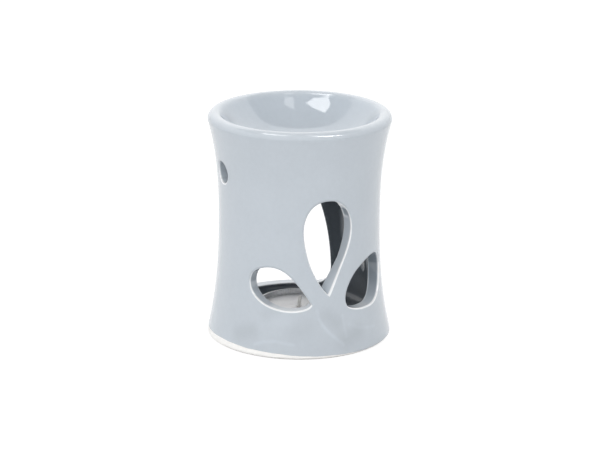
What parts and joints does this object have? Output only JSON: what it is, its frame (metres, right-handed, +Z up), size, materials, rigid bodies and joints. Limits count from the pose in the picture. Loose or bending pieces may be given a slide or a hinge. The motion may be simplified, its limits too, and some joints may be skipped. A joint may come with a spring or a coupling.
{
  "type": "aroma lamp",
  "caption": "Waisted glazed ceramic aroma lamp: hollow body with a cut-out flower, rear doorway and floor for a tealight, and a shallow oil dish with a rolled lip on top.",
  "frame": {"origin": "centre of the foot, on the surface that the lamp stands on", "axes": "+Z up along the lamp's turning axis, -Y out of the cut flower, +Y out of the doorway for the tealight"},
  "size_m": [0.081, 0.081, 0.1],
  "materials": {
    "body_glaze": "glossy pale blue-grey glaze, bare clay at the foot",
    "dish_glaze": "glossy pale blue-grey glaze, thinner and lighter on the lip",
    "aluminium_foil": "bright pressed sheet",
    "wax": "waxy, slightly translucent",
    "tinplate": "bright",
    "cotton": "waxed braid"
  },
  "bodies": {
    "lamp": {"lamp_body": "body_glaze", "oil_dish": "dish_glaze"},
    "tealight": {"tealight_cup": "aluminium_foil", "tealight_wax": "wax", "wick_tab": "tinplate", "wick": "cotton"}
  },
  "joints": [
    {"name": "tealight_slide", "type": "slide", "parent": "lamp", "child": "tealight", "axis": [0, 0.9659, 0.2588], "range_m": [0, 0.08]}
  ]
}
